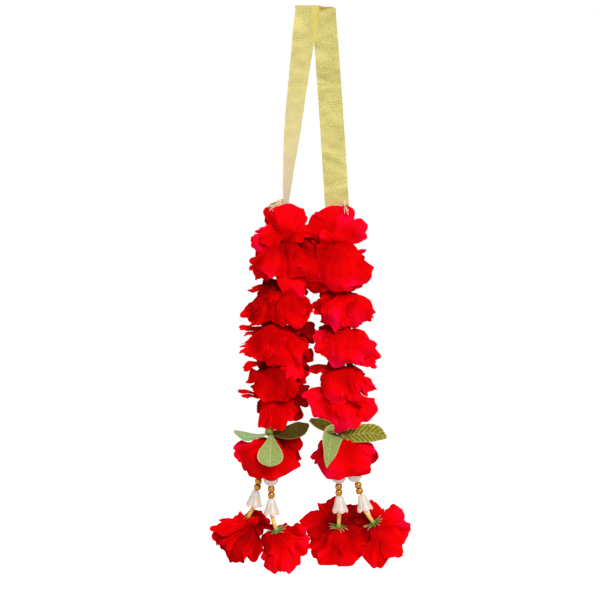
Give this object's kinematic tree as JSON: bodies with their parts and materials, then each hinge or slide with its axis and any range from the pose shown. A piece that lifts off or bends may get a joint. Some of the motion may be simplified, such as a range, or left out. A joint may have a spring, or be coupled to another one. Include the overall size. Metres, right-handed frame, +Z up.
{
  "type": "flower garland",
  "caption": "Ribbon-hung garland of red cloth blooms in two strands, with leaf sprays and beaded tassels that end in hanging blooms.",
  "frame": {"origin": "underside of the ribbon's top fold, midway between its legs, where the loop bears on what it hangs from", "axes": "+Z up, +X to the right and -Y towards the viewer as the garland hangs"},
  "size_m": [0.2207, 0.0795, 0.5925],
  "materials": {
    "ribbon": "sheer metallic gold organza, lightly crinkled",
    "bloom": "matt dyed polyester petal cloth, frayed heat-cut edges",
    "leaf": "printed and pressed leaf cloth with cream edges",
    "calyx": "moulded green polyethylene",
    "bead": "polished gold-brown metallised bead",
    "bell": "frosted translucent acrylic",
    "stem": "moulded yellow polyethylene",
    "thread": "twisted cotton"
  },
  "bodies": {
    "root": {"ribbon": "ribbon", "strand_thread_left": "thread", "bloom_left_1": "bloom", "bloom_left_2": "bloom", "bloom_left_3": "bloom", "bloom_left_4": "bloom", "bloom_left_5": "bloom", "calyx_left_1": "calyx", "calyx_left_2": "calyx", "calyx_left_3": "calyx", "calyx_left_4": "calyx", "calyx_left_5": "calyx", "leaf_spray_left": "leaf", "skirt_bloom_left": "bloom", "strand_thread_right": "thread", "bloom_right_1": "bloom", "bloom_right_2": "bloom", "bloom_right_3": "bloom", "bloom_right_4": "bloom", "bloom_right_5": "bloom", "calyx_right_1": "calyx", "calyx_right_2": "calyx", "calyx_right_3": "calyx", "calyx_right_4": "calyx", "calyx_right_5": "calyx", "leaf_spray_right": "leaf", "skirt_bloom_right": "bloom", "thread_left_outer": "thread", "bud_cap_left_outer": "bell", "bead_left_outer_upper": "bead", "bead_left_outer_lower": "bead", "bell_left_outer": "bell", "stem_left_outer": "stem", "calyx_left_outer": "calyx", "tassel_bloom_left_outer": "bloom", "thread_left_inner": "thread", "bud_cap_left_inner": "bell", "bead_left_inner_upper": "bead", "bead_left_inner_lower": "bead", "bell_left_inner": "bell", "stem_left_inner": "stem", "calyx_left_inner": "calyx", "tassel_bloom_left_inner": "bloom", "thread_right_inner": "thread", "bud_cap_right_inner": "bell", "bead_right_inner_upper": "bead", "bead_right_inner_lower": "bead", "bell_right_inner": "bell", "stem_right_inner": "stem", "calyx_right_inner": "calyx", "tassel_bloom_right_inner": "bloom", "thread_right_outer": "thread", "bud_cap_right_outer": "bell", "bead_right_outer_upper": "bead", "bead_right_outer_lower": "bead", "bell_right_outer": "bell", "stem_right_outer": "stem", "calyx_right_outer": "calyx", "tassel_bloom_right_outer": "bloom"}
  },
  "joints": []
}
